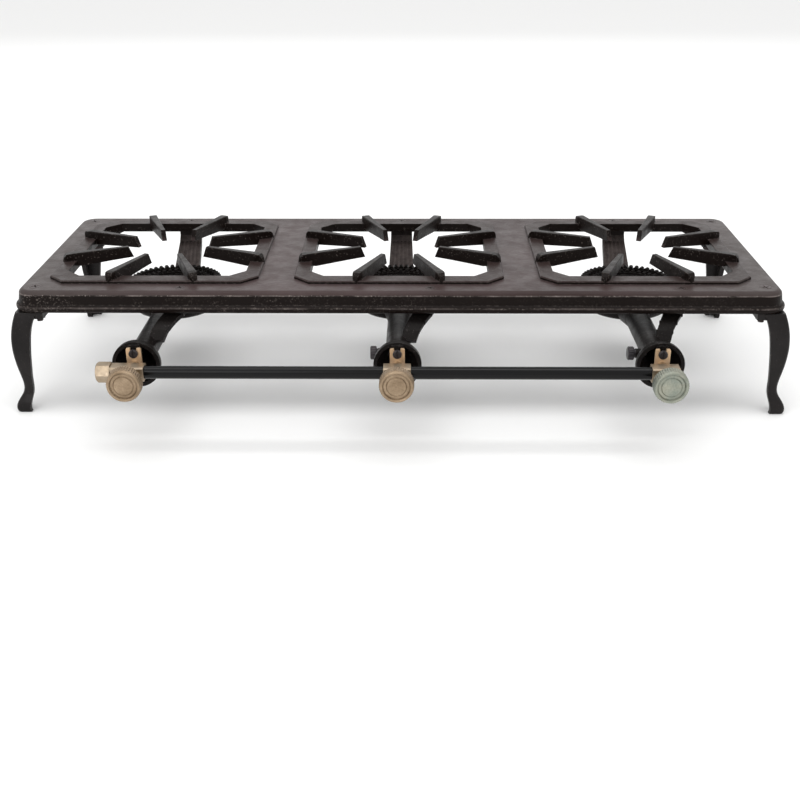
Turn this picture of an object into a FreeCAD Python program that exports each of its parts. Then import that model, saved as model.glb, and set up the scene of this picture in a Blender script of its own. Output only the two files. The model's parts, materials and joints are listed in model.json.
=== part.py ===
# Three-ring propane burner stand: cast grate on four cast legs, three cast ring burners,
# and a front gas rail with one rotary cock per burner.
# Every shape is first drawn about the middle of the grate's top face (x right, y towards
# the back, z up from that face) and then moved so that z = 0 is the ground.
import os
from math import cos, pi, radians, sin

import FreeCAD, Part

V = FreeCAD.Vector
X, Y, Z = V(1, 0, 0), V(0, 1, 0), V(0, 0, 1)

# ---- grate ----
PLATE_L = 745.0  # flat top, left to right
PLATE_W = 250.0  # flat top, front to back
PLATE_T = 5.0  # casting thickness of the top
TOP_Z = 125.5  # top face above the ground
CELL = 247.0  # distance between burner centres
EDGE_R = 5.5  # rounding between the top and the skirt
EDGE_OUT, FLARE_OUT = 3.6, 6.0  # sloping face of the skirt beyond the outline, top and bottom
SKIRT_DROP = 21.5  # skirt below the top face
REAR_DROP = 15.5  # the back skirt is shallower between the legs
BEAD_OUT = 8.4  # bead beyond the outline
BEAD_Z = 13.3  # where the bead starts below the top face
SKIRT_IN = 2.0  # inner wall of the skirt inside the flat top's edge
CORNER_R = 12.0
HOLE = 182.0  # square opening over each burner
HOLE_CUT = 15.0  # its cut corners
HOLE_Y = 2.0  # it lies a little towards the back
BAND = 211.0  # raised band round the opening
BAND_CUT = 16.0
BAND_H = 3.0
LIP_DROP = 5.5  # lower edge of the wall round the opening
LIP_T = 5.0
PAN_H = 11.0  # pan supports above the top face
FINGER_TIP_R = 41.0
FINGER_ROOT_R = 114.0
FINGER_T0, FINGER_T1 = 9.0, 5.0  # thickness at the root and at the tip
FINGER_ANGLES = [22.5 + 45.0 * k for k in range(8)]

# ---- legs ----
LEG_T = 5.0
PAD = 19.0  # square pad inside the skirt
PAD_BOTTOM = 28.0
# depth below the top face, outward offset of the corner, flange width
LEG_STATIONS = (
    (21.5, 6.4, 21.5),
    (31.0, 9.6, 20.4),
    (42.0, 11.8, 19.8),
    (58.0, 12.8, 18.6),
    (73.0, 11.8, 15.8),
    (86.0, 10.0, 12.4),
    (96.0, 8.6, 10.2),
    (104.0, 8.8, 10.2),
    (111.0, 12.0, 12.4),
    (116.5, 15.2, 14.4),
    (121.5, 16.2, 14.8),
    (125.5, 15.0, 14.0),
)
LEG_SCREW_IN = 12.0  # leg screw from both flat edges

# ---- burners ----
RING_R = 50.5
RING_TOP = 31.0  # depth of the toothed rim below the top face
DECK = 38.0
BOWL_BOTTOM = 67.0
WALL = 4.0
TEETH_OUT, TEETH_IN = 50, 38
PORTS = 36
TUBE_Z = 50.0  # depth of the mixing tube
TUBE_R, TUBE_BORE = 12.0, 8.0
MOUTH_Y = -192.0
CUP_R, CUP_BORE = 22.8, 19.3
NECK_Y = -164.0
FRONT_BOLT = (31.0, -115.5)
REAR_BOLT = (0.0, 115.5)
# middle of the front arm from the mixing tube up to its pad: x, y, depth, width
FRONT_ARM = (
    (10.0, -148.0, 44.5, 15.0),
    (13.0, -140.0, 36.5, 16.0),
    (18.0, -130.0, 31.0, 17.0),
    (24.0, -119.0, 26.5, 19.0),
    (29.0, -109.5, 21.5, 21.0),
    (31.0, -107.5, 15.0, 22.0),
    (31.0, -107.5, 7.0, 22.0),
)

# ---- gas rail and cocks ----
RAIL_Y = -212.0
RAIL_Z = 48.8  # depth of the gas rail
RAIL_R, RAIL_BORE = 6.0, 4.0
BODY_HALF = 12.7  # cock body, half length along the rail
BODY_S = 14.0  # square section
SOCKET = 8.0
INLET_END = 31.5  # end of the inlet nut from the left cock's centre
INLET_START = 18.5
INLET_AF = 17.0
INLET_BORE_R = 5.9  # tapping bore for a G1/4 hose tail
PLUG_R = 4.5
PLUG_GAP = 0.04
BONNET_AF = 15.0
KNOB_R = 16.0
KNOB_BACK, KNOB_FRONT = -233.0, -245.0
KNOB_FLUTES = 44
TAB_W, TAB_T = 14.0, 2.5
TAB_Y = -197.0  # front face of the bracket
TAB_TOP, TAB_SCREW_Z = -31.2, -36.3
POST_BACK = -183.0
LOCK_Y, LOCK_Z = -164.0, -49.0

FOOT_OUT = max(s[1] for s in LEG_STATIONS)
# the middle of the bounding box is the origin, front to back
PLATE_Y = (-KNOB_FRONT - (PLATE_W / 2 + FOOT_OUT)) / 2
NAMES = ("left", "middle", "right")
CENTRES = dict(zip(NAMES, (-CELL, 0.0, CELL)))


def cyl(r, p0, p1):
    """Round bar between two points."""
    a, b = V(*p0), V(*p1)
    return Part.makeCylinder(r, (b - a).Length, a, b - a)


def box(x0, x1, y0, y1, z0, z1):
    return Part.makeBox(x1 - x0, y1 - y0, z1 - z0, V(x0, y0, z0))


def prism(points, axis, length):
    """Closed polygon of 3-D points, swept along an axis."""
    wire = Part.makePolygon([V(*p) for p in points] + [V(*points[0])])
    return Part.Face(wire).extrude(axis * length)


def rounded_plate(length, width, r, z0, z1, chamfer=False):
    """Upright block on the middle of the grate with rounded or cut corners."""
    block = box(-length / 2, length / 2, -width / 2, width / 2, z0, z1)
    upright = [e for e in block.Edges if abs(e.tangentAt(e.FirstParameter).z) > 0.9]
    return block.makeChamfer(r, upright) if chamfer else block.makeFillet(r, upright)


def plate_outline(out, z):
    """Rounded outline of the grate, that much beyond the flat top."""
    solid = rounded_plate(PLATE_L + 2 * out, PLATE_W + 2 * out, CORNER_R + out, z, z + 1)
    return [f for f in solid.Faces if abs(f.BoundBox.ZMax - z) < 1e-6][0].OuterWire


def level_edges(shape, z):
    return [e for e in shape.Edges
            if all(abs(v.Point.z - z) < 1e-4 for v in e.Vertexes)
            and abs(e.BoundBox.ZMax - e.BoundBox.ZMin) < 1e-4]


def revolve(profile, point, axis):
    wire = Part.makePolygon([V(*p) for p in profile] + [V(*profile[0])])
    return Part.Face(wire).revolve(V(*point), axis, 360)


def smooth_turn(outline, point, axis, closing):
    """Turned solid whose outline is a smooth curve, closed by straight lines."""
    curve = Part.BSplineCurve()
    curve.interpolate([V(*p) for p in outline])
    ends = [V(*outline[-1])] + [V(*p) for p in closing] + [V(*outline[0])]
    wire = Part.Wire([curve.toShape()] + Part.makePolygon(ends).Edges)
    return Part.Face(wire).revolve(V(*point), axis, 360)


def hexagon(af, p0, axis, length, turn=0.0):
    """Hexagonal bar; axis is X, Y or Z, turn is the angle of its first corner."""
    r = af / 2 / cos(pi / 6)
    base = V(*p0)
    pts = []
    for k in range(6):
        a = radians(turn + 60 * k)
        c, s = r * cos(a), r * sin(a)
        if abs(axis.x) > 0.5:
            off = V(0, c, s)
        elif abs(axis.y) > 0.5:
            off = V(c, 0, s)
        else:
            off = V(c, s, 0)
        pts.append(tuple(base + off))
    return prism(pts, axis, length)


def moved(shape, x=0.0, y=0.0, z=0.0):
    s = shape.copy()
    s.translate(V(x, y, z))
    return s


def flat_head(x, y, head_r, r):
    """Cutter for a flat-head screw let into the top face."""
    cone = Part.makeCone(head_r + 0.6, r, head_r + 0.6 - r, V(x, y, 0.6), V(0, 0, -1))
    return cone.fuse(cyl(r, (x, y, 0.5), (x, y, -60)))


# ------------------------------------------------------------------ grate
def finger():
    """One pan support along +X from an opening's centre."""
    side = [
        (FINGER_TIP_R + 4.5, 0, PAN_H),
        (FINGER_TIP_R, 0, -0.4),
        (FINGER_TIP_R + 20, 0, -1.2),
        (HOLE / 2 + 5.0, 0, -3.2),
        (FINGER_ROOT_R - 6, 0, -1.0),
        (FINGER_ROOT_R, 0, -1.0),
        (FINGER_ROOT_R, 0, 2.2),
        (FINGER_ROOT_R - 1.2, 0, 7.4),
        (FINGER_ROOT_R - 4.0, 0, 10.4),
        (FINGER_ROOT_R - 9.0, 0, PAN_H),
    ]
    blade = prism(side, Y, 20.0)
    blade.translate(V(0, -10.0, 0))
    h0, h1 = FINGER_T0 / 2, FINGER_T1 / 2
    plan = [
        (FINGER_TIP_R - 2, -h1, -10),
        (FINGER_ROOT_R - 22, -h0 * 0.86, -10),
        (FINGER_ROOT_R - 8, -h0, -10),
        (FINGER_ROOT_R - 2.5, -h0 * 0.8, -10),
        (FINGER_ROOT_R, -h0 * 0.3, -10),
        (FINGER_ROOT_R, h0 * 0.3, -10),
        (FINGER_ROOT_R - 2.5, h0 * 0.8, -10),
        (FINGER_ROOT_R - 8, h0, -10),
        (FINGER_ROOT_R - 22, h0 * 0.86, -10),
        (FINGER_TIP_R - 2, h1, -10),
    ]
    blade = blade.common(prism(plan, Z, 30.0))
    top = [e for e in blade.Edges if e.BoundBox.ZMin > PAN_H - 0.01]
    long_top = [e for e in top if e.Length > 20]
    return blade.makeFillet(0.9, long_top)


def top_grate():
    drop = SKIRT_DROP
    upper = Part.makeLoft([plate_outline(FLARE_OUT, -BEAD_Z - 3), plate_outline(EDGE_OUT, 0)],
                          True, True)
    upper = upper.makeFillet(EDGE_R, level_edges(upper, 0))
    bead = rounded_plate(PLATE_L + 2 * BEAD_OUT, PLATE_W + 2 * BEAD_OUT,
                         CORNER_R + BEAD_OUT, -drop, -BEAD_Z)
    bead = bead.makeFillet(3.6, level_edges(bead, -drop) + level_edges(bead, -BEAD_Z))
    body = upper.fuse(bead)
    body = body.cut(rounded_plate(PLATE_L - 2 * SKIRT_IN, PLATE_W - 2 * SKIRT_IN,
                                  CORNER_R - SKIRT_IN, -drop - 1, -PLATE_T))
    # shallower back skirt, with sloping ends
    half, back = PLATE_L / 2 - 42, PLATE_W / 2
    body = body.cut(prism([(-half, back - 10, -REAR_DROP), (half, back - 10, -REAR_DROP),
                           (half + 14, back - 10, -drop - 1), (-half - 14, back - 10, -drop - 1)],
                          Y, 40.0))
    adds, cuts = [], []
    one_finger = finger()
    for x in CENTRES.values():
        lip = rounded_plate(HOLE + 2 * LIP_T, HOLE + 2 * LIP_T, HOLE_CUT + 1, -LIP_DROP,
                            -PLATE_T + 0.5, chamfer=True)
        band = rounded_plate(BAND, BAND, BAND_CUT, -1, BAND_H, chamfer=True)
        band = band.makeChamfer(1.0, level_edges(band, BAND_H))
        hole = rounded_plate(HOLE, HOLE, HOLE_CUT, -LIP_DROP - 1, BAND_H + 1, chamfer=True)
        adds += [moved(lip, x, HOLE_Y), moved(band, x)]
        cuts.append(moved(hole, x, HOLE_Y))
        fx, fy = FRONT_BOLT
        cuts.append(flat_head(x + fx, fy, 4.9, 2.65))
        rx, ry = REAR_BOLT
        cuts.append(flat_head(x + rx, ry, 4.9, 2.65))
    for sx in (-1, 1):
        for sy in (-1, 1):
            cuts.append(flat_head(sx * (PLATE_L / 2 - LEG_SCREW_IN),
                                  sy * (PLATE_W / 2 - LEG_SCREW_IN), 6.0, 3.2))
    body = body.fuse(adds)
    body = body.cut(cuts)
    fingers = []
    for x in CENTRES.values():
        for a in FINGER_ANGLES:
            f = one_finger.copy()
            f.rotate(V(0, 0, 0), Z, a)
            f.translate(V(x, 0, 0))
            fingers.append(f)
    return body.fuse(fingers).removeSplitter()


# ------------------------------------------------------------------ legs
def leg_section(depth, out, width):
    """Angle section whose outer corner is rounded, seen from above."""
    r = 4.0
    t = LEG_T
    x0, y0 = -(PLATE_L / 2 + out), -(PLATE_W / 2 + out)
    z = -depth
    a = V(x0 + width, y0, z)
    b = V(x0 + r, y0, z)
    m = V(x0 + r - r * cos(pi / 4), y0 + r - r * sin(pi / 4), z)
    c = V(x0, y0 + r, z)
    d = V(x0, y0 + width, z)
    e = V(x0 + t, y0 + width, z)
    f = V(x0 + t, y0 + t, z)
    g = V(x0 + width, y0 + t, z)
    line = Part.makeLine
    return Part.Wire([line(a, b), Part.Arc(b, m, c).toShape(), line(c, d), line(d, e),
                      line(e, f), line(f, g), line(g, a)])


def front_left_leg():
    column = Part.makeLoft([leg_section(*s) for s in LEG_STATIONS], True, False)
    x0, y0 = -(PLATE_L / 2 - SKIRT_IN) + 0.3, -(PLATE_W / 2 - SKIRT_IN) + 0.3
    pad = box(x0, x0 + PAD, y0, y0 + PAD, -PAD_BOTTOM, -PLATE_T)
    corner = [e for e in pad.Edges
              if abs(e.tangentAt(e.FirstParameter).z) > 0.9
              and e.BoundBox.XMax < x0 + 1 and e.BoundBox.YMax < y0 + 1]
    pad = pad.makeFillet(CORNER_R - SKIRT_IN, corner)
    out = LEG_STATIONS[0][1]
    sx, sy = -(PLATE_L / 2 + out) + 0.6, -(PLATE_W / 2 + out) + 0.6
    shelf = box(sx, x0 + PAD, sy, y0 + PAD, -PAD_BOTTOM, -SKIRT_DROP)
    corner = [e for e in shelf.Edges
              if abs(e.tangentAt(e.FirstParameter).z) > 0.9
              and e.BoundBox.XMax < sx + 1 and e.BoundBox.YMax < sy + 1]
    shelf = shelf.makeFillet(5.0, corner)
    leg = column.fuse([pad, shelf])
    px, py = -(PLATE_L / 2 - LEG_SCREW_IN), -(PLATE_W / 2 - LEG_SCREW_IN)
    leg = leg.cut(cyl(3.2, (px, py, 0), (px, py, -60)))
    # shallow arch under the foot
    fx, fy = -(PLATE_L / 2 + 8.0), -(PLATE_W / 2 + 8.0)
    leg = leg.cut(Part.makeSphere(9.0, V(fx + 1.5, fy + 1.5, -TOP_Z - 7.4)))
    return leg.removeSplitter()


def csk_screw(x, y, head_r, r, length):
    """Flat-head screw with a cross recess, head flush with the top face."""
    head = Part.makeCone(head_r, r, head_r - r, V(x, y, 0), V(0, 0, -1))
    shank = cyl(r, (x, y, -(head_r - r) + 0.2), (x, y, -length))
    screw = head.fuse(shank)
    for ang in (20, 110):
        slot = box(-head_r * 0.62, head_r * 0.62, -0.55, 0.55, -1.7, 1)
        slot.rotate(V(0, 0, 0), Z, ang)
        screw = screw.cut(moved(slot, x, y))
    return screw


def nut(x, y, z_top, af, r, t):
    body = hexagon(af, (x, y, z_top - t), Z, t)
    return body.cut(cyl(r, (x, y, z_top + 1), (x, y, z_top - t - 1)))


# ------------------------------------------------------------------ burners
def burner(lock_boss):
    """Bowl-shaped ring burner with mixing tube, mixer cup and two bolted arms."""
    axis0 = (0, 0, 0)
    bowl = smooth_turn([(RING_R - 0.5, 0, -DECK + 1), (49.4, 0, -46), (48.3, 0, -54),
                        (45.5, 0, -60), (39.0, 0, -63.6), (28.0, 0, -65.6), (14.0, 0, -66.7),
                        (0, 0, -BOWL_BOTTOM)],
                       axis0, Z, [(0, 0, -DECK + 1)])
    rim = cyl(RING_R - 0.5, (0, 0, -DECK), (0, 0, -RING_TOP - 3.4))
    bowl = bowl.fuse(rim)
    bowl = bowl.cut(cyl(44.0, (0, 0, -DECK), (0, 0, -RING_TOP + 5)))
    inner = cyl(41.0, (0, 0, -DECK - 1), (0, 0, -RING_TOP - 4.6))
    inner = inner.cut(cyl(35.5, (0, 0, -DECK), (0, 0, 0)))
    teeth = []
    for n, r0, r1, z, tr in ((TEETH_OUT, 44.2, RING_R, -RING_TOP - 2.9, 2.4),
                             (TEETH_IN, 35.8, 40.8, -RING_TOP - 4.6, 2.2)):
        for k in range(n):
            a = 2 * pi * (k + 0.5) / n
            teeth.append(cyl(tr, (r0 * cos(a), r0 * sin(a), z), (r1 * cos(a), r1 * sin(a), z)))
    dome = Part.makeCone(30.0, 16.0, 3.0, V(0, 0, -DECK - 0.5), Z)
    # mixing tube and cup about the tube's own line
    tube = cyl(TUBE_R, (0, NECK_Y, -TUBE_Z), (0, -20, -TUBE_Z))

    def about(profile):
        return [(r, y, -TUBE_Z) for y, r in profile]

    cup = smooth_turn(about([(-187.5, CUP_R), (-182.0, 21.5), (-176.5, 18.6), (-171.0, 15.3),
                             (-165.0, 13.0), (-156.0, TUBE_R)]),
                      (0, 0, -TUBE_Z), Y, about([(-156.0, 0), (-187.5, 0)]))
    cup = cup.fuse(cyl(CUP_R, (0, MOUTH_Y, -TUBE_Z), (0, -187.5, -TUBE_Z)))
    hollow = smooth_turn(about([(-187.5, CUP_BORE), (-182.0, 18.0), (-176.5, 15.0), (-171.0, 11.6),
                                (-165.0, 9.2), (-155.0, TUBE_BORE)]),
                         (0, 0, -TUBE_Z), Y, about([(-155.0, 0), (-187.5, 0)]))
    hollow = hollow.fuse([cyl(CUP_BORE, (0, MOUTH_Y - 5, -TUBE_Z), (0, -187.5, -TUBE_Z)),
                          cyl(TUBE_BORE, (0, -156, -TUBE_Z), (0, -30, -TUBE_Z))])
    flare = Part.makeCone(TUBE_R, 17.0, 28.0, V(0, -72, -TUBE_Z), Y)
    chamber = smooth_turn([(45.5, 0, -DECK - WALL), (45.0, 0, -49), (43.0, 0, -55),
                           (37.5, 0, -59), (28.0, 0, -61.2), (14.0, 0, -62.5),
                           (0, 0, -BOWL_BOTTOM + WALL)],
                          axis0, Z, [(0, 0, -DECK - WALL)])
    # front arm: flat bar from the mixing tube, under the skirt and up to its pad
    fx, fy = FRONT_BOLT
    front = []
    for a, b in zip(FRONT_ARM, FRONT_ARM[1:]):
        front.append(Part.makeLoft([arm_section(*a, *b[1:3]), arm_section(*b, *a[1:3])],
                                   True, True))
    for x, y, depth, w in FRONT_ARM[1:-1]:
        front.append(cyl(2.5, (x - w / 2, y, -depth), (x + w / 2, y, -depth)))
    front_pad = box(fx - 11, fx + 11, fy - 6, fy + 9, -PLATE_T - 4.5, -PLATE_T)
    # rear arm: fluted bar from the bowl up to the bolt under the back of the grate
    ry = REAR_BOLT[1]
    side = [(44, -63), (44, -57), (50, -55), (72, -40), (ry - 15.5, -20.5), (ry - 11, -14),
            (ry - 11, -PLATE_T), (ry + 6.5, -PLATE_T), (ry + 6.5, -PLATE_T - 4.5),
            (ry - 5.2, -PLATE_T - 4.5), (ry - 5.2, -19.0), (ry - 11.5, -27.5), (76, -47),
            (52, -63)]
    rear = prism([(-20, y, z) for y, z in side], X, 40)
    plan = prism([(-15.5, 40, -70), (15.5, 40, -70), (11.3, ry + 9, -70), (-11.3, ry + 9, -70)],
                 Z, 70)
    rear = rear.common(plan)
    for k in range(-2, 3):
        xa, xb = k * 5.6, k * 4.4
        rear = rear.cut(cyl(1.1, (xa, 46, -57.4), (xb, ry - 15.5, -20.1)))
    shape = bowl.fuse([inner, dome, tube, flare, cup, front_pad, rear] + front + teeth)
    ports = []
    for k in range(PORTS):
        a = 2 * pi * (k + 0.5) / PORTS
        for r in (42.6, 33.4):
            x, y = r * cos(a), r * sin(a)
            ports.append(cyl(1.1, (x, y, -DECK - 7), (x, y, -DECK + 3)))
    shape = shape.cut([chamber, hollow] + ports)
    # post inside the top of the cup that carries the cock's bracket
    post = box(-5.5, 5.5, TAB_Y + TAB_T, POST_BACK, -TUBE_Z + 9.0, -TUBE_Z + 21.0)
    post = post.common(cyl(21.2, (0, -210, -TUBE_Z), (0, -160, -TUBE_Z)))
    shape = shape.fuse(post)
    shape = shape.cut(cyl(1.75, (0, TAB_Y, TAB_SCREW_Z), (0, POST_BACK + 1.5, TAB_SCREW_Z)))
    shape = shape.cut([cyl(2.65, (fx, fy, 0), (fx, fy, -30)),
                       cyl(2.65, (0, ry, 0), (0, ry, -30))])
    if lock_boss:
        boss = cyl(4.6, (-19.0, LOCK_Y, LOCK_Z), (-10.0, LOCK_Y, LOCK_Z))
        boss = boss.cut(cyl(9.5, (0, -190, -TUBE_Z), (0, -120, -TUBE_Z)))
        shape = shape.fuse(boss)
        shape = shape.cut(cyl(2.5, (-30.0, LOCK_Y, LOCK_Z), (-5.0, LOCK_Y, LOCK_Z)))
    return shape


def arm_section(x, y, depth, width, y_other, depth_other):
    """Cross-section of the front arm at a point, square to the line to its neighbour."""
    run = V(0, y_other - y, depth - depth_other)
    run.normalize()
    up = V(0, -run.z, run.y) * 2.5
    c = V(x, y, -depth)
    half = X * (width / 2)
    sign = 1 if up.z > 0 or (abs(up.z) < 1e-6 and up.y < 0) else -1
    up = up * sign
    pts = [c - half - up, c + half - up, c + half + up, c - half + up]
    return Part.makePolygon(pts + [pts[0]])


def lock_screw():
    """Thumb screw with a fluted round head in the boss on the neck of the cup."""
    head = cyl(6.6, (-26.5, LOCK_Y, LOCK_Z), (-20.5, LOCK_Y, LOCK_Z))
    head = head.makeChamfer(0.8, [e for e in head.Edges if abs(e.Length - 2 * pi * 6.6) < 0.1])
    cuts = []
    for k in range(16):
        a = 2 * pi * k / 16
        y, z = LOCK_Y + 7.1 * cos(a), LOCK_Z + 7.1 * sin(a)
        cuts.append(cyl(0.95, (-28, y, z), (-19, y, z)))
    head = head.cut(cuts)
    return head.fuse([cyl(4.2, (-20.6, LOCK_Y, LOCK_Z), (-19.0, LOCK_Y, LOCK_Z)),
                      cyl(2.5, (-19.2, LOCK_Y, LOCK_Z), (-8.5, LOCK_Y, LOCK_Z))])


# ------------------------------------------------------------------ gas rail and cocks
def cock_body(left_open, right_open, left_end):
    """Square brass body: rail passage across, plug bore from the front, jet at the back."""
    s = BODY_S / 2
    x0 = -left_end
    body = box(x0, BODY_HALF, RAIL_Y - s, RAIL_Y + s, -RAIL_Z - s, -RAIL_Z + s)
    body = body.makeChamfer(1.2, [e for e in body.Edges
                                  if abs(e.tangentAt(e.FirstParameter).x) > 0.9])
    neck = cyl(6.6, (0, RAIL_Y - s + 0.5, -RAIL_Z), (0, RAIL_Y - s - 6, -RAIL_Z))
    body = body.fuse(neck)
    cuts = [cyl(PLUG_R + PLUG_GAP, (0, -230, -RAIL_Z), (0, RAIL_Y + 1.5, -RAIL_Z)),
            cyl(3.0, (0, RAIL_Y + 2.8, -RAIL_Z), (0, RAIL_Y + s + 1, -RAIL_Z)),
            cyl(1.1, (0, RAIL_Y, -RAIL_Z + 2.4), (0, RAIL_Y + 4, -RAIL_Z + 2.4))]
    if left_open:
        cuts += [cyl(3.0, (x0 - 1, RAIL_Y, -RAIL_Z), (0, RAIL_Y, -RAIL_Z)),
                 cyl(RAIL_R, (x0 - 1, RAIL_Y, -RAIL_Z), (x0 + SOCKET, RAIL_Y, -RAIL_Z))]
    if right_open:
        cuts += [cyl(3.0, (0, RAIL_Y, -RAIL_Z), (BODY_HALF + 1, RAIL_Y, -RAIL_Z)),
                 cyl(RAIL_R, (BODY_HALF - SOCKET, RAIL_Y, -RAIL_Z),
                     (BODY_HALF + 1, RAIL_Y, -RAIL_Z))]
    return body.cut(cuts)


def inlet_nut():
    """Hexagonal brass inlet with a female thread that faces left."""
    x1, x0 = -INLET_START, -INLET_END
    body = hexagon(INLET_AF, (x0, RAIL_Y, -RAIL_Z), X, x1 - x0, 0.0)
    end = Part.makeCone(8.4, 10.4, 2.0, V(x0, RAIL_Y, -RAIL_Z), X)
    end = end.fuse(cyl(10.4, (x0 + 2, RAIL_Y, -RAIL_Z), (x1, RAIL_Y, -RAIL_Z)))
    body = body.common(end)
    body = body.fuse(cyl(RAIL_R, (x1 - 0.5, RAIL_Y, -RAIL_Z), (x1 + SOCKET, RAIL_Y, -RAIL_Z)))
    body = body.cut(cyl(INLET_BORE_R, (x0 - 1, RAIL_Y, -RAIL_Z), (x0 + 11, RAIL_Y, -RAIL_Z)))
    return body.cut(cyl(3.0, (x0 + 10, RAIL_Y, -RAIL_Z), (x1 + SOCKET + 1, RAIL_Y, -RAIL_Z)))


def rail_pipe(x_from, x_to):
    a = x_from + BODY_HALF - SOCKET
    b = x_to - BODY_HALF + SOCKET
    pipe = cyl(RAIL_R, (a, RAIL_Y, -RAIL_Z), (b, RAIL_Y, -RAIL_Z))
    return pipe.cut(cyl(RAIL_BORE, (a - 1, RAIL_Y, -RAIL_Z), (b + 1, RAIL_Y, -RAIL_Z)))


def plug():
    """Turning plug: seat disc with an off-centre port, waist in the gas passage, stem."""
    seat_y = RAIL_Y + 1.5
    disc = cyl(PLUG_R, (0, seat_y - 2.2, -RAIL_Z), (0, seat_y, -RAIL_Z))
    # closed at rest: the port lies a quarter turn from the hole in the seat
    disc = disc.cut(cyl(1.1, (2.4, seat_y - 3, -RAIL_Z), (2.4, seat_y + 1, -RAIL_Z)))
    waist = cyl(1.2, (0, seat_y - 7.5, -RAIL_Z), (0, seat_y - 2.0, -RAIL_Z))
    land = cyl(PLUG_R, (0, -222.5, -RAIL_Z), (0, seat_y - 7.4, -RAIL_Z))
    stem = cyl(3.0, (0, -241.0, -RAIL_Z), (0, -222.4, -RAIL_Z))
    stem = stem.cut(box(-5, 5, -242, -233.5, -RAIL_Z + 2.2, -RAIL_Z + 5))
    return disc.fuse([waist, land, stem])


def bonnet():
    """Hexagonal cap screwed on the body's neck; the stem turns in it."""
    y0 = -229.0
    y1 = RAIL_Y - BODY_S / 2
    cap = hexagon(BONNET_AF, (0, y0, -RAIL_Z), Y, y1 - y0, 0.0)
    shape = Part.makeCone(7.0, 9.0, 2.0, V(0, y0, -RAIL_Z), Y)
    shape = shape.fuse(cyl(9.0, (0, y0 + 2, -RAIL_Z), (0, y1, -RAIL_Z)))
    cap = cap.common(shape)
    cap = cap.cut(cyl(6.6, (0, y1 - 6, -RAIL_Z), (0, y1 + 1, -RAIL_Z)))
    cap = cap.cut(cyl(3.05, (0, y0 - 1, -RAIL_Z), (0, y1, -RAIL_Z)))
    return cap.cut(cyl(5.0, (0, -227.0, -RAIL_Z), (0, y1 - 5, -RAIL_Z)))


def spring():
    """Spring washer stack between the bonnet and the plug."""
    ring = cyl(4.4, (0, -226.9, -RAIL_Z), (0, -222.6, -RAIL_Z))
    ring = ring.cut(cyl(3.2, (0, -228, -RAIL_Z), (0, -221, -RAIL_Z)))
    for k in range(3):
        ring = ring.cut(box(-6, 6, -226.0 + 1.3 * k, -225.5 + 1.3 * k, -RAIL_Z, -RAIL_Z + 6)
                        if k % 2 else
                        box(-6, 6, -226.0 + 1.3 * k, -225.5 + 1.3 * k, -RAIL_Z - 6, -RAIL_Z))
    return ring


def knob():
    """Round brass knob: fluted rim, sunk ring and raised disc on its face."""
    y0, y1 = KNOB_FRONT, KNOB_BACK
    profile = [(0, y0 + 1.2), (8.6, y0 + 1.2), (9.4, y0 + 2.0), (12.0, y0 + 2.0),
               (12.8, y0 + 0.6), (14.0, y0), (15.0, y0 + 0.5), (15.4, y0 + 1.6),
               (15.4, y0 + 2.2), (KNOB_R, y0 + 2.7), (KNOB_R, y1 - 1.2), (14.8, y1),
               (0, y1)]
    turned = revolve([(r, y, -RAIL_Z) for y, r in [(p[1], p[0]) for p in profile]],
                     (0, 0, -RAIL_Z), Y)
    flutes = []
    for k in range(KNOB_FLUTES):
        a = 2 * pi * k / KNOB_FLUTES
        x, z = (KNOB_R + 0.35) * cos(a), -RAIL_Z + (KNOB_R + 0.35) * sin(a)
        flutes.append(cyl(0.85, (x, y0 + 2.3, z), (x, y1 + 1, z)))
    turned = turned.cut(flutes)
    turned = turned.cut(cyl(12.5, (0, y1 - 4.0, -RAIL_Z), (0, y1 + 1, -RAIL_Z)))
    turned = turned.fuse(cyl(6.0, (0, y1 - 4.5, -RAIL_Z), (0, y1, -RAIL_Z)))
    stem = cyl(3.0, (0, -241.0, -RAIL_Z), (0, y1 + 1, -RAIL_Z))
    stem = stem.cut(box(-5, 5, -242, -233.5, -RAIL_Z + 2.2, -RAIL_Z + 5))
    return turned.cut(stem)


def jet():
    """Brass injector screwed into the back of the body."""
    y0 = RAIL_Y + BODY_S / 2
    tab_back = TAB_Y + TAB_T
    shank = cyl(3.0, (0, RAIL_Y + 2.8, -RAIL_Z), (0, y0, -RAIL_Z))
    barrel = cyl(5.0, (0, y0, -RAIL_Z), (0, TAB_Y, -RAIL_Z))
    thread = cyl(4.0, (0, TAB_Y - 0.5, -RAIL_Z), (0, tab_back, -RAIL_Z))
    head = hexagon(10.0, (0, tab_back, -RAIL_Z), Y, 4.5, 0.0)
    nose = Part.makeCone(4.6, 2.0, 5.0, V(0, tab_back + 4.5, -RAIL_Z), Y)
    body = shank.fuse([barrel, thread, head, nose])
    body = body.cut(cyl(1.5, (0, RAIL_Y, -RAIL_Z), (0, tab_back + 5.5, -RAIL_Z)))
    return body.cut(cyl(0.5, (0, -200, -RAIL_Z), (0, tab_back + 12, -RAIL_Z)))


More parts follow.
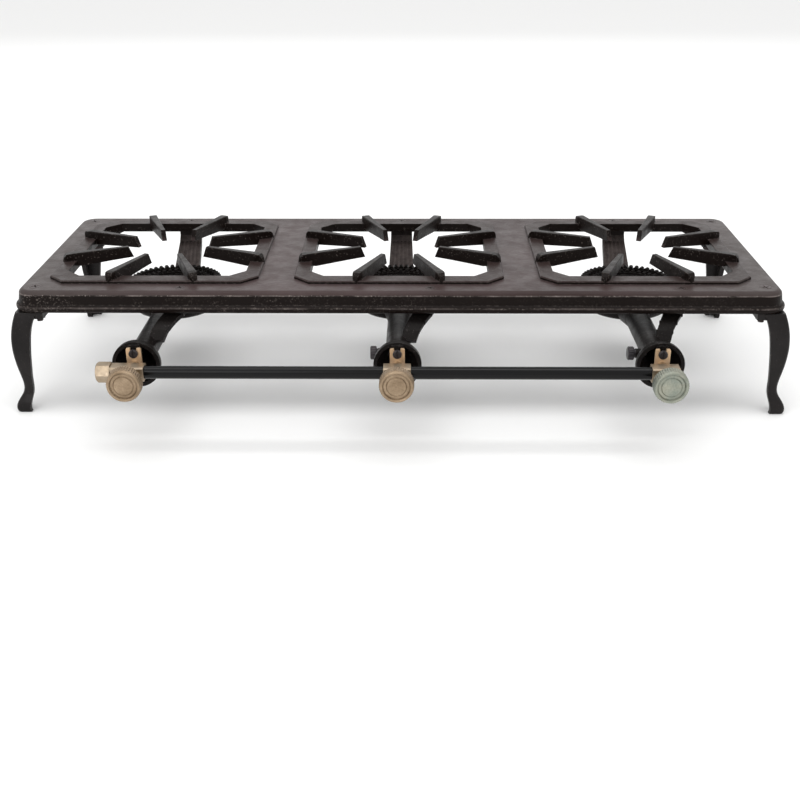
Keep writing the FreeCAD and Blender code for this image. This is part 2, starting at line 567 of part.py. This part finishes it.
def bracket():
    """Brass strip held behind the body by the jet; its notch takes the screw in the cup."""
    h = TAB_W / 2
    z0, z1 = -RAIL_Z - 7.5, TAB_TOP
    strip = box(-h, h, TAB_Y, TAB_Y + TAB_T, z0, z1)
    corners = [e for e in strip.Edges if abs(e.tangentAt(e.FirstParameter).y) > 0.9]
    strip = strip.makeFillet(1.6, corners)
    strip = strip.cut(cyl(4.0, (0, TAB_Y - 1, -RAIL_Z), (0, TAB_Y + 5, -RAIL_Z)))
    notch = cyl(2.3, (0, TAB_Y - 1, TAB_SCREW_Z), (0, TAB_Y + 5, TAB_SCREW_Z))
    mouth = prism([(-2.3, TAB_Y - 1, TAB_SCREW_Z), (2.3, TAB_Y - 1, TAB_SCREW_Z),
                   (3.4, TAB_Y - 1, z1 + 1), (-3.4, TAB_Y - 1, z1 + 1)], Y, 6)
    return strip.cut(notch.fuse(mouth))


def bracket_screw():
    """Pan-head screw with a slot, through the notch into the cup's post."""
    r = 4.3
    head = cyl(r, (0, TAB_Y - 2.8, TAB_SCREW_Z), (0, TAB_Y, TAB_SCREW_Z))
    rim = [e for e in head.Edges if e.BoundBox.YMax < TAB_Y - 2.7 and e.Length > 20]
    head = head.makeFillet(1.2, rim)
    head = head.cut(box(-0.6, 0.6, TAB_Y - 4, TAB_Y - 1.7, TAB_SCREW_Z - 5, TAB_SCREW_Z + 5))
    return head.fuse(cyl(1.75, (0, TAB_Y - 0.5, TAB_SCREW_Z), (0, POST_BACK, TAB_SCREW_Z)))


# ------------------------------------------------------------------ write every node
def group(shapes):
    return Part.makeCompound(shapes)


def main():
    nodes = {"top_grate": top_grate()}
    leg = front_left_leg()
    mirror_x = leg.mirror(V(0, 0, 0), X)
    nodes["leg_front_left"] = leg
    nodes["leg_front_right"] = mirror_x
    nodes["leg_rear_left"] = leg.mirror(V(0, 0, 0), Y)
    nodes["leg_rear_right"] = mirror_x.mirror(V(0, 0, 0), Y)
    screws, nuts = [], []
    for sx in (-1, 1):
        for sy in (-1, 1):
            x, y = sx * (PLATE_L / 2 - LEG_SCREW_IN), sy * (PLATE_W / 2 - LEG_SCREW_IN)
            screws.append(csk_screw(x, y, 6.0, 3.0, 36.0))
            nuts.append(nut(x, y, -PAD_BOTTOM, 10.0, 3.0, 5.0))
    nodes["leg_screws"] = group(screws)
    nodes["leg_nuts"] = group(nuts)

    plain, bossed = burner(False), burner(True)
    bolts, bolt_nuts = [], []
    for name, x in CENTRES.items():
        nodes["burner_" + name] = moved(plain if name == "left" else bossed, x)
        for bx, by in (FRONT_BOLT, REAR_BOLT):
            bolts.append(csk_screw(x + bx, by, 4.9, 2.5, 15.5))
            bolt_nuts.append(nut(x + bx, by, -PLATE_T - 4.5, 8.0, 2.5, 4.0))
    nodes["burner_bolts"] = group(bolts)
    nodes["burner_nuts"] = group(bolt_nuts)
    nodes["lock_screws"] = group([moved(lock_screw(), CENTRES[n]) for n in ("middle", "right")])

    bodies = {
        "left": cock_body(True, True, INLET_START),
        "middle": cock_body(True, True, BODY_HALF),
        "right": cock_body(True, False, BODY_HALF),
    }
    for name, x in CENTRES.items():
        nodes["valve_body_" + name] = moved(bodies[name], x)
        nodes["plug_" + name] = moved(plug(), x)
        nodes["bonnet_" + name] = moved(bonnet(), x)
        nodes["spring_" + name] = moved(spring(), x)
        nodes["knob_" + name] = moved(knob(), x)
        nodes["jet_" + name] = moved(jet(), x)
        nodes["bracket_" + name] = moved(bracket(), x)
    nodes["bracket_screws"] = group([moved(bracket_screw(), x) for x in CENTRES.values()])
    nodes["inlet_nut"] = moved(inlet_nut(), CENTRES["left"])
    nodes["rail_left"] = rail_pipe(CENTRES["left"], CENTRES["middle"])
    nodes["rail_right"] = rail_pipe(CENTRES["middle"], CENTRES["right"])

    os.makedirs("parts", exist_ok=True)
    for name, shape in nodes.items():
        placed = moved(shape, 0.0, PLATE_Y, TOP_Z)
        placed.exportStep("parts/" + name + ".step")
        print(name, placed.isValid(), len(placed.Solids), round(placed.Volume / 1000.0, 2))


main()
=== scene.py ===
import json
from math import radians

import bpy
from mathutils import Matrix, Vector


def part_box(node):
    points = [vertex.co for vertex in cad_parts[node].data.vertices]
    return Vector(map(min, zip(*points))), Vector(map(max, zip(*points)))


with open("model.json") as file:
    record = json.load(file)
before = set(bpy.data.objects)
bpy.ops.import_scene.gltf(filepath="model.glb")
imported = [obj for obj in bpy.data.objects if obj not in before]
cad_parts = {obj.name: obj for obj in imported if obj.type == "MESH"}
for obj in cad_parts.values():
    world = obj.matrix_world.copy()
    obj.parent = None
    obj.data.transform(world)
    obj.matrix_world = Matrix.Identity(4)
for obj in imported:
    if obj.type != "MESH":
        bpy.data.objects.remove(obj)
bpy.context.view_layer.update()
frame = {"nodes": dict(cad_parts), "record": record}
NODES = frame["nodes"]
MM = 0.001
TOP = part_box("leg_screws")[1][2]  # height of the flat top, from the screw heads let into it
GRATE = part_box("top_grate")
MID_Y = (GRATE[0][1] + GRATE[1][1]) / 2

# the grate's outer faces begin this far from its middle, over a soft margin
SKIRT_FROM_X, SKIRT_FROM_Y, SKIRT_MARGIN = 0.365, 0.118, 0.003
# heights on the grate, measured from the flat top, of the painted highlight lines
SHOULDER = -4.0 * MM  # where the flat top turns over into the side
CREST = -15.8 * MM  # along the crest of the bead
REAR_ARM_FROM = 50.0 * MM  # the burners' rear arms lie further than this behind MID_Y

CAMERA_AT = (0.0183, -1.0976, 0.4961)  # fitted to the photograph, as are the angles and the lens
CAMERA_DOWN, CAMERA_TURN, CAMERA_ROLL = 25.5, 0.96, -0.25  # degrees
LENS, SENSOR = 49.94, 36.0  # millimetres
FAR_CLIP = 120.0
FLOOR_HALF = 40.0
WORLD_STRENGTH = 0.96
# name, place, target, size along x and y, power in watts
LIGHTS = [
    ("overhead", (0.0, -0.1, 1.9), (0, 0, 0), 2.6, 0.6, 16.0),
    ("back", (0.0, 2.4, 1.1), (0, 0, 0.1), 3.2, 1.0, 10.0),
    ("front", (-0.8, -1.9, 1.4), (0, 0, 0.1), 1.0, 0.8, 7.0),
]


# ------------------------------------------------------------------ shader helpers
class Shader:
    """A material with one Principled shader and short calls for its texture nodes."""

    def __init__(self, name, colour, metallic, roughness):
        self.mat = bpy.data.materials.new(name)
        self.mat.use_nodes = True
        self.tree = self.mat.node_tree
        self.bsdf = self.tree.nodes["Principled BSDF"]
        self.set("Base Color", colour)
        self.set("Metallic", metallic)
        self.set("Roughness", roughness)
        self.coords = self.node("ShaderNodeTexCoord")
        self.last_normal = None

    def set(self, socket, value):
        s = self.bsdf.inputs[socket]
        s.default_value = (*value, 1.0) if isinstance(value, tuple) else value

    def node(self, kind, **values):
        n = self.tree.nodes.new(kind)
        for key, value in values.items():
            setattr(n, key, value)
        return n

    def link(self, a, b):
        self.tree.links.new(a, b)

    def xyz(self, which="Object"):
        """The three parts of the object's own coordinates, or of its own normal."""
        n = self.node("ShaderNodeSeparateXYZ")
        self.link(self.coords.outputs[which], n.inputs[0])
        return n.outputs[0], n.outputs[1], n.outputs[2]

    def noise(self, scale, detail=3.0, rough=0.55, stretch=None, seed=0.0):
        """Noise about 1/scale metres across; stretch scales the coordinates per axis."""
        mapping = self.node("ShaderNodeMapping")
        mapping.inputs["Location"].default_value = (seed, seed * 0.7, seed * 1.3)
        mapping.inputs["Scale"].default_value = stretch or (1.0, 1.0, 1.0)
        self.link(self.coords.outputs["Object"], mapping.inputs["Vector"])
        n = self.node("ShaderNodeTexNoise")
        n.inputs["Scale"].default_value = scale
        n.inputs["Detail"].default_value = detail
        n.inputs["Roughness"].default_value = rough
        self.link(mapping.outputs["Vector"], n.inputs["Vector"])
        return n.outputs["Fac"]

    def ramp(self, value, low, high, out_low=0.0, out_high=1.0):
        m = self.node("ShaderNodeMapRange")
        m.inputs["From Min"].default_value = low
        m.inputs["From Max"].default_value = high
        m.inputs["To Min"].default_value = out_low
        m.inputs["To Max"].default_value = out_high
        self.link(value, m.inputs["Value"])
        return m.outputs["Result"]

    def maths(self, op, a, b):
        m = self.node("ShaderNodeMath", operation=op)
        for socket, value in zip(m.inputs, (a, b)):
            if isinstance(value, (int, float)):
                socket.default_value = value
            else:
                self.link(value, socket)
        return m.outputs[0]

    def product(self, *values):
        total = values[0]
        for v in values[1:]:
            total = self.maths("MULTIPLY", total, v)
        return total

    def band(self, value, low, high, soft):
        """1 between low and high, 0 outside, over a soft margin."""
        return self.product(self.ramp(value, low - soft, low), self.ramp(value, high + soft, high))

    def mix(self, factor, a, b):
        """Colour a to colour b; each is a tuple or a socket."""
        m = self.node("ShaderNodeMix", data_type="RGBA")
        self.link(factor, m.inputs[0])
        for socket, value in ((m.inputs[6], a), (m.inputs[7], b)):
            if isinstance(value, tuple):
                socket.default_value = (*value, 1.0)
            else:
                self.link(value, socket)
        return m.outputs[2]

    def round_edges(self, radius):
        """Rounds the shading of the edges, and returns a mask that is 1 on them."""
        bevel = self.node("ShaderNodeBevel", samples=5)
        bevel.inputs["Radius"].default_value = radius
        flat = self.node("ShaderNodeNewGeometry")
        dot = self.node("ShaderNodeVectorMath", operation="DOT_PRODUCT")
        self.link(bevel.outputs["Normal"], dot.inputs[0])
        self.link(flat.outputs["Normal"], dot.inputs[1])
        self.last_normal = bevel.outputs["Normal"]
        self.link(self.last_normal, self.bsdf.inputs["Normal"])
        return self.ramp(dot.outputs["Value"], 0.992, 0.90)

    def nearby(self, distance):
        """1 in the open, less in grooves and corners within that distance."""
        n = self.node("ShaderNodeAmbientOcclusion", samples=6, only_local=True)
        n.inputs["Distance"].default_value = distance
        return n.outputs["AO"]

    def colour(self, socket):
        self.link(socket, self.bsdf.inputs["Base Color"])

    def roughness(self, socket):
        self.link(socket, self.bsdf.inputs["Roughness"])

    def bump(self, height, distance, strength=1.0):
        b = self.node("ShaderNodeBump")
        b.inputs["Distance"].default_value = distance
        b.inputs["Strength"].default_value = strength
        self.link(height, b.inputs["Height"])
        if self.last_normal is not None:
            self.link(self.last_normal, b.inputs["Normal"])
        self.last_normal = b.outputs["Normal"]
        self.link(self.last_normal, self.bsdf.inputs["Normal"])


# ------------------------------------------------------------------ materials
BLACK = (0.0060, 0.0032, 0.0024)
# painted sheen: the brownish grey of the flat top where it catches the light
LIT_TOP_BROWN = (0.066, 0.046, 0.045)
DEEP = (0.036, 0.023, 0.022)
OLIVE = (0.060, 0.050, 0.047)
FINGER = (0.024, 0.0155, 0.014)
# painted highlight along the shoulder and the bead's crest
HIGHLIGHT_LINE = (0.185, 0.155, 0.145)
# bare iron on worn edges, also the colour of the painted glints
WORN_AND_GLINT = (0.24, 0.205, 0.185)


def cast_grain(s, grain, seed):
    """Lumps, sand grain and fine tooth of a casting under paint."""
    s.bump(s.noise(45.0, 3.0, 0.5, seed=seed + 7.0), 0.0011 * grain, 0.5)
    s.bump(s.noise(210.0, 4.0, 0.6, seed=seed + 1.0), 0.0005 * grain, 0.55)
    s.bump(s.noise(640.0, 3.0, 0.65, seed=seed + 3.0), 0.0002 * grain, 0.6)


def grate_iron():
    """Dark paint with a painted brownish satin sheen on the flat top, dark rough sides, painted
    highlight lines and glints, specks of bare iron on edges.
    """
    s = Shader("grate_iron", LIT_TOP_BROWN, 0.0, 0.4)
    s.set("Specular IOR Level", 0.11)
    edge = s.round_edges(1.3 * MM)
    x, y, z = s.xyz()
    up = s.xyz("Normal")[2]
    # painted sheen: faces that look up, near the height of the flat top and down its shoulder, get
    # the lit brown; all else stays BLACK
    flat = s.product(s.ramp(up, 0.20, 0.46), s.ramp(z, TOP - 4.3 * MM, TOP - 3.4 * MM),
                     s.ramp(z, TOP + 4.2 * MM, TOP + 3.3 * MM))
    raised = s.ramp(z, TOP + 1.5 * MM, TOP + 2.8 * MM)
    broad = s.ramp(s.noise(5.0, 3.0, 0.55, stretch=(1, 1.6, 1)), 0.36, 0.64)
    small = s.ramp(s.noise(46.0, 4.0, 0.6, seed=4.0), 0.35, 0.72)
    lit_top_colour = s.mix(broad, LIT_TOP_BROWN, DEEP)
    rims = s.maths("MAXIMUM", s.ramp(x, 0.22, 0.37), s.ramp(x, -0.22, -0.37))
    lit_top_colour = s.mix(s.product(rims, 0.8), lit_top_colour, OLIVE)
    lit_top_colour = s.mix(s.product(small, 0.35), lit_top_colour, DEEP)
    lit_top_colour = s.mix(s.product(raised, 0.78), lit_top_colour, FINGER)
    colour = s.mix(flat, BLACK, lit_top_colour)
    # painted highlight lines along the shoulder and the bead's crest, flecked brighter; specks of
    # wear, most at the left end
    fine = s.ramp(s.noise(520.0, 3.0, 0.7, seed=9.0), 0.56, 0.64)
    patch = s.ramp(s.noise(24.0, 4.0, 0.65, seed=12.0), 0.42, 0.62)
    left = s.ramp(x, 0.05, -0.34, 0.12, 1.0)
    shoulder = s.band(z, TOP + SHOULDER - 0.4 * MM, TOP + SHOULDER + 0.3 * MM, 0.5 * MM)
    crest = s.product(s.band(z, TOP + CREST - 0.4 * MM, TOP + CREST + 0.4 * MM, 0.8 * MM), 0.5)
    across = s.maths("ABSOLUTE", s.maths("SUBTRACT", y, MID_Y), 0.0)
    along = s.maths("ABSOLUTE", x, 0.0)
    outer = s.maths("MAXIMUM", s.ramp(across, SKIRT_FROM_Y, SKIRT_FROM_Y + SKIRT_MARGIN),
                    s.ramp(along, SKIRT_FROM_X, SKIRT_FROM_X + SKIRT_MARGIN))
    highlight_lines = s.product(s.maths("MAXIMUM", shoulder, crest), outer)
    streaks = s.ramp(s.noise(60.0, 4.0, 0.65, stretch=(0.8, 0.8, 2.5), seed=27.0), 0.40, 0.64)
    colour = s.mix(s.product(highlight_lines, s.ramp(streaks, 0, 1, 0.08, 0.80)), colour, HIGHLIGHT_LINE)
    side = s.product(s.ramp(z, TOP - 4.6 * MM, TOP - 5.6 * MM), outer, fine, patch, left, 0.5)
    rubbed = s.product(edge, s.ramp(s.noise(300.0, 3.0, 0.7, seed=17.0), 0.50, 0.62), 0.34)
    above = s.ramp(z, TOP + 2.6 * MM, TOP + 3.4 * MM)
    inside = s.product(s.ramp(z, TOP - 0.8 * MM, TOP - 1.6 * MM), s.ramp(outer, 1.0, 0.0))
    # painted glints: bright dots on the fingers and inside the openings
    glint_dots = s.product(s.maths("MAXIMUM", above, inside),
                     s.ramp(s.noise(610.0, 2.0, 0.6, seed=21.0), 0.63, 0.70), 0.40)
    wear_and_glints = s.maths("MAXIMUM", s.maths("MAXIMUM", s.product(highlight_lines, fine, 0.9), side),
                   s.maths("MAXIMUM", rubbed, glint_dots))
    s.colour(s.mix(wear_and_glints, colour, WORN_AND_GLINT))
    s.roughness(s.ramp(s.noise(70.0, 5.0, 0.6, seed=5.0), 0.3, 0.7, 0.32, 0.50))
    cast_grain(s, 1.0, 0.0)
    return s.mat


def cast_iron(name, base, patch, worn, rough, gloss, grain=1.0, seed=0.0, upward_rear_colour=None):
    """Satin paint over rough sand-cast iron, rubbed to lighter grey on its edges.

    The last argument, if given, is the lighter colour of the faces that look up towards the back
    of the stand.
    """
    s = Shader(name, base, 0.0, rough)
    s.set("Specular IOR Level", gloss)
    edge = s.round_edges(1.0 * MM)
    colour = s.mix(s.ramp(s.noise(18.0, 4.0, seed=seed), 0.38, 0.66), base, patch)
    # upward faces towards the back of the stand are drawn in a lighter colour
    if upward_rear_colour:
        y, z = s.xyz()[1:]
        rear = s.product(s.ramp(y, MID_Y + REAR_ARM_FROM, MID_Y + REAR_ARM_FROM + 4.0 * MM),
                         s.ramp(s.xyz("Normal")[2], -0.2, 0.4),
                         s.ramp(s.noise(150.0, 4.0, 0.7, seed=seed + 13.0), 0.30, 0.62, 0.45, 1.0))
        colour = s.mix(rear, colour, upward_rear_colour)
    specks = s.ramp(s.noise(300.0, 3.0, 0.7, seed=seed + 9.0), 0.52, 0.66)
    # painted glints: scattered dots, drawn in the worn colour like the rubbed edge specks
    glint_dots = s.product(s.ramp(s.noise(640.0, 2.0, 0.6, seed=seed + 21.0), 0.65, 0.71), 0.3 * grain)
    s.colour(s.mix(s.maths("MAXIMUM", s.product(edge, specks, 0.55), glint_dots), colour, worn))
    s.roughness(s.ramp(s.noise(60.0, 5.0, 0.6, seed=seed + 5.0), 0.3, 0.7, rough - 0.08,
                       rough + 0.12))
    cast_grain(s, grain, seed)
    return s.mat


def soft_metal(name, base, dark, rough, scale=80.0, metallic=1.0, round_to=0.4, seed=0.0,
               marks=0.0):
    """Metal with faint stains and brighter edges.

    round_to is the radius of the edges in millimetres. marks is the depth in millimetres of
    the worn marks, and a marked piece also has painted shade in its grooves and corners.
    """
    s = Shader(name, base, metallic, rough)
    edge = s.round_edges(round_to * MM)
    stains = s.ramp(s.noise(scale, 4.0, 0.6, seed=seed), 0.35, 0.7)
    colour = s.mix(stains, base, dark)
    if marks:
        worn = s.ramp(s.noise(620.0, 3.0, 0.6, seed=seed + 8.0), 0.40, 0.60)
        s.bump(worn, marks * MM, 0.7)
        # painted shade: darker in grooves and corners
        shaded_hollows = s.ramp(s.nearby(1.4 * MM), 0.93, 0.62)
        grime_and_shade = tuple(c * 0.42 for c in dark)
        colour = s.mix(s.product(s.ramp(worn, 1.0, 0.0), 0.22), colour, grime_and_shade)
        colour = s.mix(s.product(shaded_hollows, 0.85), colour, grime_and_shade)
    bright = tuple(min(1.0, c * 1.25) for c in base)
    s.colour(s.mix(s.product(edge, 0.5), colour, bright))
    s.roughness(s.ramp(s.noise(scale * 4, 4.0, 0.6, seed=seed + 2.0), 0.3, 0.7, rough - 0.08,
                       rough + 0.14))
    s.bump(s.noise(scale * 3, 3.0, 0.6, seed=seed + 6.0), 0.00012, 0.5)
    s.bump(s.noise(scale * 12, 3.0, 0.6, seed=seed + 4.0), 0.00008, 0.5)
    return s.mat


def black_paint(name):
    """Black paint on tube, its unevenness drawn out along the length."""
    s = Shader(name, (0.0045, 0.0045, 0.0048), 0.0, 0.3)
    s.set("Specular IOR Level", 0.17)
    s.roughness(s.ramp(s.noise(90.0, 4.0, 0.6, stretch=(0.15, 1, 1)), 0.3, 0.7, 0.14, 0.20))
    s.bump(s.noise(60.0, 2.0, 0.5, stretch=(0.3, 1, 1)), 0.0002, 0.2)
    s.bump(s.noise(500.0, 3.0, 0.6), 0.00008, 0.5)
    return s.mat


MATERIALS = {
    "grate_iron": grate_iron(),
    "leg_iron": cast_iron("leg_iron", (0.0095, 0.0082, 0.0080), (0.018, 0.0155, 0.015),
                          (0.16, 0.14, 0.13), 0.32, 0.13, 0.6, seed=11.0),
    "burner_iron": cast_iron("burner_iron", (0.0062, 0.0050, 0.0046), (0.0125, 0.0105, 0.0098),
                             (0.15, 0.13, 0.125), 0.36, 0.07, 1.0, seed=23.0,
                             upward_rear_colour=(0.074, 0.059, 0.055)),
    "dark_steel": cast_iron("dark_steel", (0.052, 0.037, 0.036), (0.034, 0.024, 0.023),
                            (0.20, 0.17, 0.155), 0.40, 0.15, 0.3, seed=31.0),
    "black_steel": soft_metal("black_steel", (0.020, 0.017, 0.020), (0.045, 0.038, 0.040), 0.35,
                              metallic=0.4),
    "spring_steel": soft_metal("spring_steel", (0.55, 0.55, 0.56), (0.40, 0.40, 0.41), 0.25),
    "black_paint": black_paint("black_paint"),
    "brass": soft_metal("brass", (0.45, 0.365, 0.270), (0.35, 0.275, 0.195), 0.38),
    "gold_brass": soft_metal("gold_brass", (0.86, 0.63, 0.42), (0.72, 0.50, 0.31), 0.36,
                             metallic=0.7),
    "knob_bronze": soft_metal("knob_bronze", (0.42, 0.315, 0.215), (0.27, 0.195, 0.125), 0.42,
                              round_to=0.15, marks=0.2),
    "knob_nickel": soft_metal("knob_nickel", (0.38, 0.38, 0.31), (0.26, 0.29, 0.25), 0.38,
                              round_to=0.15, seed=3.0, marks=0.2),
}

slot_of = {p["node"]: p["material_slot"] for p in frame["record"]["subparts"]}
for name, obj in NODES.items():
    obj.data.materials.clear()
    obj.data.materials.append(MATERIALS[slot_of[name]])


# ------------------------------------------------------------------ floor, light, camera
def make_floor():
    """A plain pale floor, wide enough to reach past the view."""
    far = FLOOR_HALF
    mesh = bpy.data.meshes.new("floor")
    mesh.from_pydata([(-far, -far, 0), (far, -far, 0), (far, far, 0), (-far, far, 0)],
                     [], [(0, 1, 2, 3)])
    floor = bpy.data.objects.new("floor", mesh)
    bpy.context.scene.collection.objects.link(floor)
    s = Shader("floor", (0.90, 0.90, 0.895), 0.0, 0.7)
    mesh.materials.append(s.mat)


def area_light(name, place, target, size, size_y, power):
    """A white rectangular lamp at place that shines on target."""
    data = bpy.data.lights.new(name, "AREA")
    data.shape = "RECTANGLE"
    data.size, data.size_y = size, size_y
    data.energy = power
    light = bpy.data.objects.new(name, data)
    light.location = place
    light.rotation_euler = (Vector(target) - Vector(place)).to_track_quat("-Z", "Y").to_euler()
    bpy.context.scene.collection.objects.link(light)


def make_camera():
    """The photograph's viewpoint."""
    cam = bpy.data.cameras.new("camera")
    cam.sensor_width = SENSOR
    cam.lens = LENS
    cam.clip_end = FAR_CLIP
    obj = bpy.data.objects.new("camera", cam)
    obj.location = CAMERA_AT
    tilt, turn, roll = radians(90.0 - CAMERA_DOWN), radians(CAMERA_TURN), radians(CAMERA_ROLL)
    obj.rotation_euler = (Matrix.Rotation(turn, 4, "Z") @ Matrix.Rotation(tilt, 4, "X")
                          @ Matrix.Rotation(roll, 4, "Z")).to_euler()
    bpy.context.scene.collection.objects.link(obj)
    bpy.context.scene.camera = obj


make_floor()
make_camera()
for light in LIGHTS:
    area_light(*light)
world = bpy.data.worlds.new("studio")
world.use_nodes = True
world.node_tree.nodes["Background"].inputs["Color"].default_value = (1, 1, 1, 1)
world.node_tree.nodes["Background"].inputs["Strength"].default_value = WORLD_STRENGTH
bpy.context.scene.world = world
bpy.context.scene.view_settings.view_transform = "Standard"
